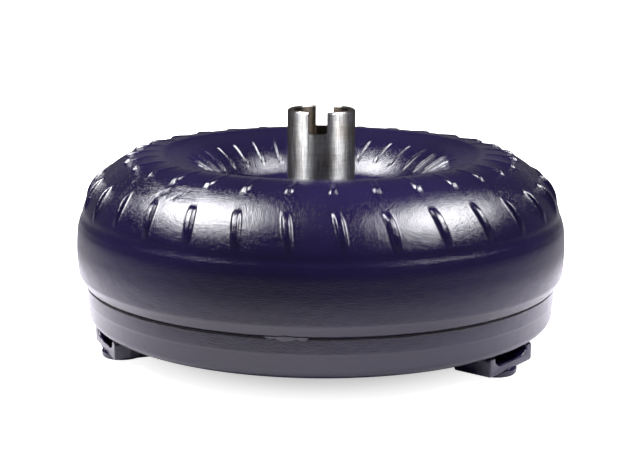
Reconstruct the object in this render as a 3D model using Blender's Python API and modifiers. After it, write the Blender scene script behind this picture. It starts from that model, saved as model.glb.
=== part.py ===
"""A torque converter without a lock-up clutch, standing on its mounting lugs with the pump hub up.

The axis is Z, the origin is on the axis in the plane of the lug feet, and one lug points along +Y.
Every dimension below is in millimetres and is turned into metres where a shape is made.
"""

import math

import bmesh
import bpy
from mathutils import Matrix

MM = 0.001

# ---- Driving dimensions -------------------------------------------------------------------------
LUG_FOOT_DROP = 17.2  # lug feet below the flat of the front cover
COVER_RADIUS = 165.3
COVER_WALL = 4.0
COVER_FLOOR = 5.0
COVER_CORNER = 7.1
COVER_HEIGHT = 40.0  # wall of the cover, most of it inside the skirt

SHELL_RADIUS = 172.2
SHELL_THICKNESS = 5.0
SHELL_EQUATOR = 35.8  # heights from here on are above the flat of the front cover
SKIRT_FOOT = (171.4, 34.3)
SKIRT_LIP = (166.5, 28.0)
SKIRT_TOP = 41.6
CROWN_RADIUS = 117.0
CROWN_HEIGHT = 116.0
SHOULDER_POWERS = (1.89, 2.8)  # of the reach outward and of the rise
BOWL_ARC_RADIUS = 62.0
BOWL_SLOPE = math.radians(41)
BOWL_FLOOR = 86.0
BOWL_FLOOR_RADIUS = 54.0

HUB_RADIUS = 23.81
HUB_BORE = 19.05
HUB_TOP = 145.55
HUB_FLANGE = (48.0, 8.2)
HUB_SLOT = (13.0, 15.0)
HUB_SLOT_ANGLE = math.radians(-88.7)
HUB_CHAMFER = 1.0

PILOT_RADIUS = 21.6
PILOT_LENGTH = 15.2

LUG_COUNT = 3
LUG_FIRST_ANGLE = math.radians(90)
LUG_WIDTH = 53.6
LUG_PLATE = 6.0
LUG_LEG = 7.0
LUG_FILLET = 2.0
LUG_INNER = 131.0
LUG_OUTER = 158.6
BOLT_CIRCLE_RADIUS = 146.05
BOSS_RADIUS = 14.5
BOSS_COLLAR = 12.0
BOSS_DROP = 4.3
BOLT_RADIUS = 4.76

PUMP_VANES = 31
TURBINE_VANES = 25
STATOR_BLADES = 15
BLADE_SIDES = 2 * STATOR_BLADES
VANE_THICKNESS = 1.2
VANE_CLEARANCE = 1.8
VANE_ANGLE = math.radians(-89.1)
TORUS_MIDDLE = 61.0
CORE_SHEET = 1.8
CORE_INNER = 89.0
PUMP_CORE_OUTER = 146.0
TURBINE_CORE_OUTER = 140.0
CORE_HALF_HEIGHT = 30.0
CORE_GAP = 2.0
CORE_STEPS = 4

TURBINE_RADIUS = 158.8
TURBINE_POWERS = (2.1, 2.1)
TURBINE_SHEET = 2.8
TURBINE_LOWEST = 7.6
TURBINE_RIM = 59.0
TURBINE_FLANGE = 34.5
TURBINE_FLANGE_INNER = 40.2
TURBINE_FLANGE_OUTER = 57.0
RIVET_COUNT = 8
RIVET_CIRCLE = 48.5
RIVET_RADIUS = 2.5

STATOR_BOTTOM = 44.4
STATOR_TOP = 69.0
STATOR_HUB_RADIUS = 56.0
STATOR_BORE = 44.3
STATOR_SHROUD = (85.6, 87.9)
BLADE_SPAN = (48.6, 72.8)
ROLLER_COUNT = 8
ROLLER_RADIUS = 4.0
RACE_RADIUS = 29.7
ROLLER_CIRCLE = RACE_RADIUS + 0.3 + ROLLER_RADIUS
ROLLER_ZONE = (48.4, 63.7)
SPRING_STRIP = 0.5
SPLINE_TEETH = 20
CLUTCH_PLATE = 2.1

BEARING_INNER = 24.6
BEARING_OUTER = 37.5
BEARING_NEEDLES = 10
RACE_PLATE = 1.0
CAGE_PLATE = 1.4
NEEDLE_RADIUS = 1.5

GAP = 0.3
BODY_SIDES = 48
TURBINE_SIDES = 32
SMALL_SIDES = 28
TINY_SIDES = 16

COLLECTION = "torque_converter"
CUTTERS = "cutters"


# ---- Scene and materials ------------------------------------------------------------------------
def clear_scene():
    for thing in list(bpy.data.objects):
        bpy.data.objects.remove(thing, do_unlink=True)


def collection(name, hidden=False):
    made = bpy.data.collections.new(name)
    bpy.context.scene.collection.children.link(made)
    made.hide_render = hidden
    return made


def material(name, colour, roughness, metallic):
    made = bpy.data.materials.new(name)
    made.use_nodes = True
    shader = made.node_tree.nodes["Principled BSDF"]
    shader.inputs["Base Color"].default_value = (*colour, 1)
    shader.inputs["Roughness"].default_value = roughness
    shader.inputs["Metallic"].default_value = metallic
    return made


def add(name, mesh, finish, smooth=40):
    """A mesh as a named object of the converter, shaded smooth up to the given crease angle."""
    made = bpy.data.objects.new(name, mesh)
    parts.objects.link(made)
    mesh.materials.append(finish)
    mesh.shade_smooth()
    mesh.set_sharp_from_angle(angle=math.radians(smooth))
    return made


def add_cutter(name, mesh):
    made = bpy.data.objects.new(name, mesh)
    cutters.objects.link(made)
    made.hide_render = True
    made.display_type = "WIRE"
    return made


def combine(target, other, operation):
    step = target.modifiers.new(operation.lower(), "BOOLEAN")
    step.operation = operation
    step.object = other
    step.solver = "EXACT"


# ---- Outlines, as lists of (radius, height) or (x, y) points -------------------------------------
def signed_area(points):
    ends = points[1:] + points[:1]
    return sum(a[0] * b[1] - b[0] * a[1] for a, b in zip(points, ends)) / 2


def arc(centre, radius, start, end, steps):
    """Points along a circular arc, with its angles in degrees."""
    angles = [math.radians(start + (end - start) * i / steps) for i in range(steps + 1)]
    return [(centre[0] + radius * math.cos(a), centre[1] + radius * math.sin(a)) for a in angles]


def quarter(centre, across, up, powers, steps):
    """A superellipse quarter from straight up or down to the side, with a power for each direction."""
    found = []
    for i in range(steps + 1):
        turn = math.pi / 2 * i / steps
        reach = math.sin(turn) ** (2 / powers[0])
        rise = max(math.cos(turn), 0) ** (2 / powers[1])
        found.append((centre[0] + across * reach, centre[1] + up * rise))
    return found


def offset(points, distance):
    """The same open line moved sideways, to the right of the way it runs, with mitred corners."""
    sides = []
    for a, b in zip(points, points[1:]):
        length = math.dist(a, b)
        sides.append(((b[1] - a[1]) / length, (a[0] - b[0]) / length))
    found = []
    for (x, y), before, after in zip(points, sides[:1] + sides, sides + sides[-1:]):
        reach = distance / (1 + before[0] * after[0] + before[1] * after[1])
        found.append((x + (before[0] + after[0]) * reach, y + (before[1] + after[1]) * reach))
    return found


def along(points, share):
    """The point at this share of the line's length."""
    lengths = [math.dist(a, b) for a, b in zip(points, points[1:])]
    left = share * sum(lengths)
    for a, b, length in zip(points, points[1:], lengths):
        if left <= length:
            return (a[0] + (b[0] - a[0]) * left / length, a[1] + (b[1] - a[1]) * left / length)
        left -= length
    return points[-1]


def polar(radius, angle):
    return (radius * math.cos(angle), radius * math.sin(angle))


def circle(radius, sides, centre=(0, 0)):
    turns = [2 * math.pi * i / sides for i in range(sides)]
    return [(centre[0] + radius * math.cos(a), centre[1] + radius * math.sin(a)) for a in turns]


def spline_outline(root, tip, teeth):
    """A toothed bore with flat roots and flat tips."""
    step = 2 * math.pi / teeth
    shares = ((root, -0.28), (root, 0.28), (tip, 0.36), (tip, 0.64))
    return [polar(r, (i + share) * step) for i in range(teeth) for r, share in shares]


# ---- Solids --------------------------------------------------------------------------------------
def turned(name, profile, finish, sides=BODY_SIDES, closed=True, helper=False):
    """A profile turned about Z. A closed one runs down its outer side; an open one ends on the axis."""
    if closed and signed_area(profile) > 0:
        profile = profile[::-1]
    count = len(profile)
    edges = [(i, i + 1) for i in range(count - 1)] + ([(count - 1, 0)] if closed else [])
    mesh = bpy.data.meshes.new(name)
    mesh.from_pydata([(r * MM, 0, z * MM) for r, z in profile], edges, [])
    made = add_cutter(name, mesh) if helper else add(name, mesh, finish)
    screw = made.modifiers.new("turn", "SCREW")
    screw.steps = screw.render_steps = sides
    screw.use_merge_vertices = True
    screw.merge_threshold = 0.00001
    screw.use_smooth_shade = True
    return made


def prism_mesh(name, outlines, low, high):
    """A flat outline, with any further outlines as its holes, made solid between two heights."""
    curve = bpy.data.curves.new(name + "_outline", "CURVE")
    curve.dimensions = "2D"
    curve.fill_mode = "BOTH"
    curve.extrude = (high - low) / 2 * MM
    for points in outlines:
        line = curve.splines.new("POLY")
        line.points.add(len(points) - 1)
        for place, (x, y) in zip(line.points, points):
            place.co = (x * MM, y * MM, 0, 1)
        line.use_cyclic_u = True
    guide = bpy.data.objects.new(name + "_outline", curve)
    cutters.objects.link(guide)
    graph = bpy.context.evaluated_depsgraph_get()
    mesh = bpy.data.meshes.new_from_object(guide.evaluated_get(graph))
    bpy.data.objects.remove(guide)
    shape = bmesh.new()
    shape.from_mesh(mesh)
    bmesh.ops.remove_doubles(shape, verts=shape.verts, dist=0.000001)
    bmesh.ops.translate(shape, verts=shape.verts, vec=(0, 0, (low + high) / 2 * MM))
    bmesh.ops.recalc_face_normals(shape, faces=shape.faces)
    shape.to_mesh(mesh)
    shape.free()
    mesh.name = name
    return mesh


def prism(name, outlines, low, high, finish):
    return add(name, prism_mesh(name, outlines, low, high), finish)


def rod_mesh(name, radius, length, sides):
    """A cylinder along Z about its own origin."""
    shape = bmesh.new()
    bmesh.ops.create_cone(
        shape, cap_ends=True, segments=sides, radius1=radius * MM, radius2=radius * MM, depth=length * MM
    )
    mesh = bpy.data.meshes.new(name)
    shape.to_mesh(mesh)
    shape.free()
    return mesh


def block_mesh(name, size, centre):
    shape = bmesh.new()
    bmesh.ops.create_cube(shape, size=1)
    bmesh.ops.scale(shape, verts=shape.verts, vec=[s * MM for s in size])
    bmesh.ops.translate(shape, verts=shape.verts, vec=[c * MM for c in centre])
    mesh = bpy.data.meshes.new(name)
    shape.to_mesh(mesh)
    shape.free()
    return mesh


def vaned_ring_mesh(name, count, ring, tips, twist, first):
    """A turned ring with sheet vanes standing on it, as one surface.

    ring is the closed profile, starting on its outer side. A vane stands on the first len(tips) of its
    points, and reaches from each of them to its tip, which is also a (radius, height) point.
    """
    shape = bmesh.new()

    def column(points, turn, side):
        """The points at one flank of a vane."""
        found = []
        for r, z in points:
            x, y = polar(r, turn + twist(r) + side * VANE_THICKNESS / 2 / r)
            found.append(shape.verts.new((x * MM, y * MM, z * MM)))
        return found

    turns = [first + 2 * math.pi * i / count for i in range(count)]
    flanks = [[(column(ring, turn, side), column(tips, turn, side)) for side in (-1, 1)] for turn in turns]
    edges = len(tips) - 1
    for i in range(count):
        (left, left_tips), (right, right_tips) = flanks[i]
        after = flanks[(i + 1) % count][0][0]
        for k in range(len(ring)):
            here, there = k, (k + 1) % len(ring)
            shape.faces.new((right[here], after[here], after[there], right[there]))
            if k >= edges:
                shape.faces.new((left[here], right[here], right[there], left[there]))
        for k in range(edges):
            shape.faces.new((left[k], left_tips[k], left_tips[k + 1], left[k + 1]))
            shape.faces.new((right[k + 1], right_tips[k + 1], right_tips[k], right[k]))
            shape.faces.new((left_tips[k], right_tips[k], right_tips[k + 1], left_tips[k + 1]))
        shape.faces.new((left[0], right[0], right_tips[0], left_tips[0]))
        shape.faces.new((right[edges], left[edges], left_tips[edges], right_tips[edges]))
    bmesh.ops.recalc_face_normals(shape, faces=shape.faces)
    bmesh.ops.triangulate(shape, faces=shape.faces)
    mesh = bpy.data.meshes.new(name)
    shape.to_mesh(mesh)
    shape.free()
    return mesh


# ---- Heights -------------------------------------------------------------------------------------
def above_cover(height):
    """A height above the flat of the front cover, as one above the lug feet."""
    return height + LUG_FOOT_DROP


def raised(points):
    return [(r, above_cover(z)) for r, z in points]


# ---- Housing -------------------------------------------------------------------------------------
def front_cover():
    floor, top = above_cover(0), above_cover(COVER_HEIGHT)
    wall_inside = COVER_RADIUS - COVER_WALL
    inner_corner = COVER_CORNER - COVER_WALL
    corner_centre = (COVER_RADIUS - COVER_CORNER, floor + COVER_CORNER)
    inside = arc((wall_inside - inner_corner, floor + COVER_FLOOR + inner_corner), inner_corner, -90, 0, 2)
    outside = arc(corner_centre, COVER_CORNER, 0, -90, 3)
    wall_top = [(wall_inside, top), (COVER_RADIUS, top)]
    profile = [(0, floor + COVER_FLOOR), *inside, *wall_top, *outside, (0, floor)]
    turned("front_cover", profile, blue_paint, closed=False)


def crank_pilot():
    """A stub that centres the converter in the crankshaft, with a centre-drilled end, and its weld."""
    top = above_cover(-GAP)
    low = top - PILOT_LENGTH
    chamfer = 2.5
    recess_radius, recess_depth, recess_cone = 9, 6, 3
    profile = [
        (0, top),
        (PILOT_RADIUS, top),
        (PILOT_RADIUS, low + chamfer),
        (PILOT_RADIUS - chamfer, low),
        (recess_radius, low),
        (recess_radius, low + recess_depth),
        (0, low + recess_depth + recess_cone),
    ]
    turned("crank_pilot", profile, machined_steel, SMALL_SIDES, closed=False)
    inner = PILOT_RADIUS + GAP
    bead = [(inner, top), (inner + 4, top), (inner + 3, top - 2.4), (inner, top - 4)]
    turned("pilot_weld_bead", bead, blue_paint, SMALL_SIDES)


def mounting_lugs():
    """Bridge brackets: two legs, a plate between them, and a threaded boss through the plate."""
    plate_low = above_cover(-LUG_FOOT_DROP + BOSS_DROP)
    plate_high = plate_low + LUG_PLATE
    leg_high = above_cover(-GAP)
    half = LUG_WIDTH / 2
    inside = half - LUG_LEG
    right = [
        (half, plate_low),
        (half, leg_high),
        (inside, leg_high),
        (inside, plate_high + LUG_FILLET),
        (inside - LUG_FILLET, plate_high),
    ]
    bridge = right + [(-across, up) for across, up in right[::-1]]
    hole = circle(BOSS_COLLAR + GAP, SMALL_SIDES, (BOLT_CIRCLE_RADIUS, 0))
    lug_mesh = laid_outward(prism_mesh("mounting_lug", [bridge], LUG_INNER, LUG_OUTER))
    hole_mesh = prism_mesh("lug_hole", [hole], -5, plate_high + 5)
    for i in range(LUG_COUNT):
        turn = LUG_FIRST_ANGLE + 2 * math.pi * i / LUG_COUNT
        lug = add(f"mounting_lug_{i + 1}", lug_mesh.copy(), blue_paint)
        hole = add_cutter(f"lug_hole_{i + 1}", hole_mesh)
        hole.parent = lug
        combine(lug, hole, "DIFFERENCE")
        lug.rotation_euler.z = turn
        boss = turned(f"lug_boss_{i + 1}", boss_profile(plate_low, plate_high), blue_paint, TINY_SIDES)
        x, y = polar(BOLT_CIRCLE_RADIUS, turn)
        boss.location = (x * MM, y * MM, 0)


def laid_outward(mesh):
    """The same prism with its length along X, away from the axis, and its outline upright across it."""
    mesh.transform(Matrix(((0, 0, 1, 0), (1, 0, 0, 0), (0, 1, 0, 0), (0, 0, 0, 1))))
    return mesh


def boss_profile(plate_low, plate_high):
    """A round foot under the plate, and a collar that fills the plate's hole and stops level with its top."""
    bevel, thread_bevel = 1.0, 1.2
    return [
        (BOLT_RADIUS, plate_high),
        (BOSS_COLLAR, plate_high),
        (BOSS_COLLAR, plate_low - GAP),
        (BOSS_RADIUS, plate_low - GAP),
        (BOSS_RADIUS, bevel),
        (BOSS_RADIUS - bevel, 0),
        (BOLT_RADIUS + thread_bevel, 0),
        (BOLT_RADIUS, thread_bevel),
    ]


def shell_line(shoulder_steps=7):
    """The outside of the shell from the skirt's foot over the shoulder and the crown to the bowl's floor."""
    across, up = SHELL_RADIUS - CROWN_RADIUS, CROWN_HEIGHT - SHELL_EQUATOR
    shoulder = quarter((CROWN_RADIUS, SHELL_EQUATOR), across, up, SHOULDER_POWERS, shoulder_steps)
    slope = math.degrees(BOWL_SLOPE)
    bowl_centre = (CROWN_RADIUS, CROWN_HEIGHT - BOWL_ARC_RADIUS)
    bowl = arc(bowl_centre, BOWL_ARC_RADIUS, 90, 90 + slope, 2)[1:]
    foot = BOWL_FLOOR + 3  # where the slope begins to turn in to the floor
    turn_in = (bowl[-1][0] - (bowl[-1][1] - foot) / math.tan(BOWL_SLOPE), foot)
    return raised([SKIRT_FOOT, *shoulder[::-1], *bowl, turn_in, (BOWL_FLOOR_RADIUS, BOWL_FLOOR)])


def impeller_shell():
    """The domed shell: its skirt slips over the cover's wall, and its floor rests on the hub's flange."""
    outer = shell_line()
    hole = HUB_RADIUS + GAP
    lip = (SKIRT_LIP[0], above_cover(SKIRT_LIP[1]))
    skirt_inside = COVER_RADIUS + GAP + 0.4
    skirt_top = above_cover(SKIRT_TOP)
    floor_inside = BOWL_FLOOR_RADIUS + 2
    inner = offset(shell_line(5), -SHELL_THICKNESS)
    inner = [(r, z) for r, z in inner if z > above_cover(60) and r > floor_inside]
    floor_top, floor_low = above_cover(BOWL_FLOOR), above_cover(BOWL_FLOOR - SHELL_THICKNESS)
    profile = [lip, *outer, (hole, floor_top), (hole, floor_low), (floor_inside, floor_low)]
    profile += inner[::-1] + [(skirt_inside, skirt_top), (skirt_inside, lip[1])]
    turned("impeller_shell", profile, blue_paint)


def weld_beads():
    """The bead that closes the housing, under the shell's lip, and the one round the pump hub."""
    inner, top = COVER_RADIUS + GAP, above_cover(SKIRT_LIP[1] - GAP)
    bead = [(inner, top), (inner + 0.9, top - 0.3), (inner + 0.8, top - 2), (inner, top - 2.8)]
    turned("closure_weld_bead", bead, blue_paint)
    inner, low = HUB_RADIUS + GAP, above_cover(BOWL_FLOOR + GAP)
    bead = [(inner, low + 5), (inner + 2.5, low + 3.4), (inner + 5.5, low), (inner, low)]
    turned("hub_weld_bead", bead, blue_paint, SMALL_SIDES)


def impeller_hub():
    """The tube that drives the transmission's pump through its two slots, and its flange under the shell."""
    top = above_cover(HUB_TOP)
    flange_top = above_cover(BOWL_FLOOR - SHELL_THICKNESS - GAP)
    flange_radius, flange_depth = HUB_FLANGE
    flange_low = flange_top - flange_depth
    profile = [
        (HUB_BORE + HUB_CHAMFER, top),
        (HUB_RADIUS - HUB_CHAMFER, top),
        (HUB_RADIUS, top - HUB_CHAMFER),
        (HUB_RADIUS, flange_top),
        (flange_radius, flange_top),
        (flange_radius, flange_low),
        (HUB_BORE, flange_low),
        (HUB_BORE, top - HUB_CHAMFER),
    ]
    hub = turned("impeller_hub", profile, machined_steel, 36)
    width, depth = HUB_SLOT
    slot = add_cutter("hub_slot_cutter", block_mesh("hub_slot_cutter", (80, width, depth * 2), (0, 0, top)))
    slot.rotation_euler.z = HUB_SLOT_ANGLE
    combine(hub, slot, "DIFFERENCE")


def core_line(outer_radius, upward):
    """The outer side of a core ring: the half of an oval that faces its shell."""
    middle = (CORE_INNER + outer_radius) / 2
    half = (outer_radius - CORE_INNER) / 2
    base = TORUS_MIDDLE + (CORE_GAP if upward else -CORE_GAP)
    rise = CORE_HALF_HEIGHT if upward else -CORE_HALF_HEIGHT
    angles = [math.pi * i / CORE_STEPS for i in range(CORE_STEPS + 1)]
    return raised([(middle + half * math.cos(a), base + rise * math.sin(a) ** 0.9) for a in angles])


def vaned_ring(name, count, core_outer, upward, shell_side, twist, first):
    """A core ring of pressed sheet with its vanes, which stop short of the shell that they stand in."""
    line = core_line(core_outer, upward)
    inner = offset(line, -CORE_SHEET if upward else CORE_SHEET)
    edges = CORE_STEPS - 1
    tips = [along(shell_side, i / edges) for i in range(edges + 1)]
    mesh = vaned_ring_mesh(name, count, line + inner[::-1], tips, twist, first)
    add(name, mesh, sheet_steel, 30)


def pump_vane_twist(radius):
    """The sheet vanes are nearly radial, and turn a few degrees towards their inner end."""
    return math.radians(6) * max(0, (110 - radius) / 50) ** 1.5


def impeller_vanes():
    reach = offset(shell_line(), -SHELL_THICKNESS - VANE_CLEARANCE)
    reach = [p for p in reach if p[1] > above_cover(TORUS_MIDDLE + 3) and p[0] > BOWL_FLOOR_RADIUS + 8]
    vaned_ring("impeller_vanes", PUMP_VANES, PUMP_CORE_OUTER, True, reach, pump_vane_twist, VANE_ANGLE)


# ---- Turbine -------------------------------------------------------------------------------------
def turbine_line():
    """The outside of the turbine shell from its rim down to its lowest ring and up to the hub flange."""
    bottom = (CROWN_RADIUS, TURBINE_RIM)
    outer = quarter(bottom, TURBINE_RADIUS - CROWN_RADIUS, TURBINE_LOWEST - TURBINE_RIM, TURBINE_POWERS, 5)
    slope = math.degrees(BOWL_SLOPE)
    rise = arc((CROWN_RADIUS, TURBINE_LOWEST + BOWL_ARC_RADIUS), BOWL_ARC_RADIUS, -90, -90 - slope, 2)[1:]
    run = (TURBINE_FLANGE - rise[-1][1]) / math.tan(BOWL_SLOPE)
    return raised([*outer[::-1], *rise, (rise[-1][0] - run, TURBINE_FLANGE)])


def turbine_shell():
    outer = turbine_line()
    inner = offset(outer, TURBINE_SHEET)[:-1]
    flange_low = above_cover(TURBINE_FLANGE)
    flange_high = flange_low + TURBINE_SHEET
    profile = outer + [(TURBINE_FLANGE_INNER, flange_low), (TURBINE_FLANGE_INNER, flange_high)]
    profile += [(outer[-1][0] + 0.9, flange_high)] + inner[::-1]
    shell = turned("turbine_shell", profile, sheet_steel, TURBINE_SIDES)
    combine(shell, rivet_hole_cutter(flange_low), "DIFFERENCE")


def rivet_hole_cutter(height):
    """The rivets' holes as one cutter, through the turbine shell's flange and the hub's."""
    shape = bmesh.new()
    for i in range(RIVET_COUNT):
        x, y = polar(RIVET_CIRCLE, 2 * math.pi * i / RIVET_COUNT)
        rod = bmesh.ops.create_cone(
            shape,
            cap_ends=True,
            segments=8,
            radius1=(RIVET_RADIUS + GAP) * MM,
            radius2=(RIVET_RADIUS + GAP) * MM,
            depth=24 * MM,
        )
        bmesh.ops.translate(shape, verts=rod["verts"], vec=(x * MM, y * MM, height * MM))
    mesh = bpy.data.meshes.new("rivet_hole_cutter")
    shape.to_mesh(mesh)
    shape.free()
    return add_cutter("rivet_hole_cutter", mesh)


def turbine_rivets():
    low = above_cover(TURBINE_FLANGE - GAP - 4.2)
    high = above_cover(TURBINE_FLANGE) + TURBINE_SHEET + GAP
    head, lower_head = RIVET_RADIUS + 1.8, RIVET_RADIUS + 1.4
    profile = [
        (0, high + 2),
        (head - 1.2, high + 1.7),
        (head, high),
        (RIVET_RADIUS, high),
        (RIVET_RADIUS, low - GAP),
        (lower_head, low - GAP),
        (0, low - 1.8),
    ]
    for i in range(RIVET_COUNT):
        rivet = turned(f"turbine_rivet_{i + 1}", profile, machined_steel, 10, closed=False)
        x, y = polar(RIVET_CIRCLE, 2 * math.pi * i / RIVET_COUNT)
        rivet.location = (x * MM, y * MM, 0)


def turbine_vane_twist(radius):
    """The turbine's vanes are scooped, so that both ends lean away from the middle."""
    return -math.radians(16) * ((radius - 108) / 50) ** 2


def turbine_vanes():
    reach = offset(turbine_line(), TURBINE_SHEET + VANE_CLEARANCE)
    reach = [p for p in reach if p[0] > BOWL_FLOOR_RADIUS + 14]
    reach[0] = (reach[0][0], above_cover(TORUS_MIDDLE - 3.5))
    vaned_ring("turbine_vanes", TURBINE_VANES, TURBINE_CORE_OUTER, False, reach, turbine_vane_twist, 0)


def turbine_hub():
    """A splined sleeve for the input shaft, with a flange that the turbine shell is riveted to."""
    top = above_cover(STATOR_BOTTOM) - 2 * RACE_PLATE - 2 * NEEDLE_RADIUS - 4 * GAP
    flange_top = above_cover(TURBINE_FLANGE - GAP)
    profile = [
        (12, top),
        (TURBINE_FLANGE_INNER - 0.4, top),
        (TURBINE_FLANGE_INNER - 0.4, flange_top),
        (TURBINE_FLANGE_OUTER, flange_top),
        (TURBINE_FLANGE_OUTER, flange_top - 4.2),
        (27, flange_top - 4.2),
        (27, above_cover(COVER_FLOOR) + 2.8),
        (12, above_cover(COVER_FLOOR) + 2.8),
    ]
    hub = turned("turbine_hub", profile, machined_steel, SMALL_SIDES)
    bore = prism_mesh("input_spline_cutter", [spline_outline(13.4, 14.6, SPLINE_TEETH)], 0, 100)
    combine(hub, add_cutter("input_spline_cutter", bore), "DIFFERENCE")
    combine(hub, bpy.data.objects["rivet_hole_cutter"], "DIFFERENCE")


def front_thrust_washer():
    low = above_cover(COVER_FLOOR + GAP)
    turned("front_thrust_washer", ring_section(19, 34, low, low + 2.2), bronze, SMALL_SIDES)


# ---- Stator and its one-way clutch ----------------------------------------------------------------
def ring_section(inner, outer, low, high):
    return [(inner, high), (outer, high), (outer, low), (inner, low)]


def stator_wheel():
    """A cast wheel: a cupped hub for the clutch, aerofoil blades, and a shroud ring round their tips."""
    bottom, top = above_cover(STATOR_BOTTOM), above_cover(STATOR_TOP)
    groove_low, groove_high = above_cover(ROLLER_ZONE[1]) + 2.7, above_cover(ROLLER_ZONE[1]) + 4.5
    hub = [
        (STATOR_BORE, top),
        (STATOR_HUB_RADIUS - 3, top),
        (STATOR_HUB_RADIUS, top - 3),
        (STATOR_HUB_RADIUS, bottom + 2),
        (STATOR_HUB_RADIUS - 2, bottom),
        (27, bottom),
        (27, bottom + 3.7),
        (STATOR_BORE, bottom + 3.7),
        (STATOR_BORE, groove_low),
        (STATOR_BORE + 1.6, groove_low),
        (STATOR_BORE + 1.6, groove_high),
        (STATOR_BORE, groove_high),
    ]
    wheel = turned("stator_wheel", hub, cast_aluminium, BLADE_SIDES)
    low, high = (above_cover(z) for z in BLADE_SPAN)
    combine(wheel, add_cutter("stator_blade_set", stator_blade_mesh()), "UNION")
    rim = ring_section(*STATOR_SHROUD, low, high)
    combine(wheel, turned("stator_shroud", rim, cast_aluminium, BLADE_SIDES, helper=True), "UNION")


def stator_blade_mesh():
    """Blades whose nose points down and whose tail leans round, as seen in from the rim."""
    outline = [(0, -11.4), (2.1, -8.6), (3.4, -1.5), (8.6, 10.6), (0.6, 1.5), (-1.9, -8.2)]
    middle = sum(above_cover(z) for z in BLADE_SPAN) / 2
    mean_radius = (STATOR_HUB_RADIUS + STATOR_SHROUD[0]) / 2
    shape = bmesh.new()
    for i in range(STATOR_BLADES):
        turn = 2 * math.pi * (i + 0.25) / STATOR_BLADES
        ends = []
        for radius, depth in ((STATOR_HUB_RADIUS - 2, 0.78), (STATOR_SHROUD[0] + 1.2, 1)):
            ring = []
            for across, up in outline:
                x, y = polar(radius, turn + across / mean_radius)
                ring.append(shape.verts.new((x * MM, y * MM, (middle + up * depth) * MM)))
            ends.append(ring)
        inner, outer = ends
        count = len(outline)
        shape.faces.new(inner)
        shape.faces.new(outer[::-1])
        for k in range(count):
            shape.faces.new((inner[k - 1], inner[k], outer[k], outer[k - 1]))
    bmesh.ops.triangulate(shape, faces=shape.faces)
    bmesh.ops.recalc_face_normals(shape, faces=shape.faces)
    mesh = bpy.data.meshes.new("stator_blade_set")
    shape.to_mesh(mesh)
    shape.free()
    return mesh


def sector_points(base, shape_points):
    """One clutch pocket's outline, from (radius, degrees past the roller) pairs."""
    return [polar(radius, base + math.radians(past)) for radius, past in shape_points]


def clutch_cam():
    """The outer race: a ring whose inside has a ramp for each roller and a pocket for its spring."""
    low, high = above_cover(ROLLER_ZONE[0]), above_cover(ROLLER_ZONE[1])
    land = RACE_RADIUS + 1.2
    ramp = ROLLER_CIRCLE + ROLLER_RADIUS
    pocket = (
        (land, -7.6),
        (ramp - 0.6, -7.6),
        (ramp + 0.5, 0),
        (ramp + 0.9, 8),
        (ramp + 0.9, 22),
        (land, 22),
        (land, 30),
    )
    inside = []
    for i in range(ROLLER_COUNT):
        inside += sector_points(roller_angle(i), pocket)
    prism("clutch_cam", [circle(STATOR_BORE - GAP, 40), inside], low, high, machined_steel)


def roller_angle(i):
    return 2 * math.pi * i / ROLLER_COUNT


def rollers_and_springs():
    """Eight rollers, and behind each an accordion spring of folded strip."""
    low, high = above_cover(ROLLER_ZONE[0]), above_cover(ROLLER_ZONE[1])
    middle = (low + high) / 2
    mesh = rod_mesh("clutch_roller", ROLLER_RADIUS, high - low - 0.8, 14)
    inner, outer = 32.6, 37.4
    folds = [(inner, 8.3), (outer, 8.3), (outer, 10.9), (inner, 11.5), (inner, 14.3), (outer, 14.9)]
    folds += [(outer, 17.6), (inner, 18.2), (inner, 20.8)]
    for i in range(ROLLER_COUNT):
        x, y = polar(ROLLER_CIRCLE, roller_angle(i))
        roller = add(f"clutch_roller_{i + 1}", mesh.copy(), machined_steel)
        roller.location = (x * MM, y * MM, middle * MM)
        line = sector_points(roller_angle(i), folds)
        ribbon = offset(line, SPRING_STRIP / 2) + offset(line, -SPRING_STRIP / 2)[::-1]
        prism(f"roller_spring_{i + 1}", [ribbon], low + 1.5, high - 1.5, spring_steel)


def clutch_retainer():
    """The plate that closes the clutch, and the open snap ring that holds it in its groove."""
    low = above_cover(ROLLER_ZONE[1]) + GAP
    plate = ring_section(27, STATOR_BORE - GAP, low, low + CLUTCH_PLATE)
    turned("clutch_cover_plate", plate, machined_steel, SMALL_SIDES)
    low += CLUTCH_PLATE + GAP + 0.2
    outer = arc((0, 0), STATOR_BORE + 1.2, 8, 352, 40)
    inner = arc((0, 0), STATOR_BORE - 3.4, 352, 8, 32)
    prism("clutch_snap_ring", [outer + inner], low, low + 1.2, spring_steel)


def inner_race():
    """The clutch's splined inner race, which sits on the stator support."""
    low, high = above_cover(STATOR_BOTTOM) + 0.5, above_cover(ROLLER_ZONE[1]) + 2.2
    zone_low, zone_high = (above_cover(z) for z in ROLLER_ZONE)
    shoulder = 26.4
    profile = [
        (14, high),
        (shoulder, high),
        (shoulder, zone_high),
        (RACE_RADIUS, zone_high),
        (RACE_RADIUS, zone_low),
        (shoulder, zone_low),
        (shoulder, low),
        (14, low),
    ]
    race = turned("clutch_inner_race", profile, machined_steel, SMALL_SIDES)
    bore = prism_mesh("support_spline_cutter", [spline_outline(15.6, 16.8, SPLINE_TEETH)], 40, 120)
    combine(race, add_cutter("support_spline_cutter", bore), "DIFFERENCE")


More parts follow.
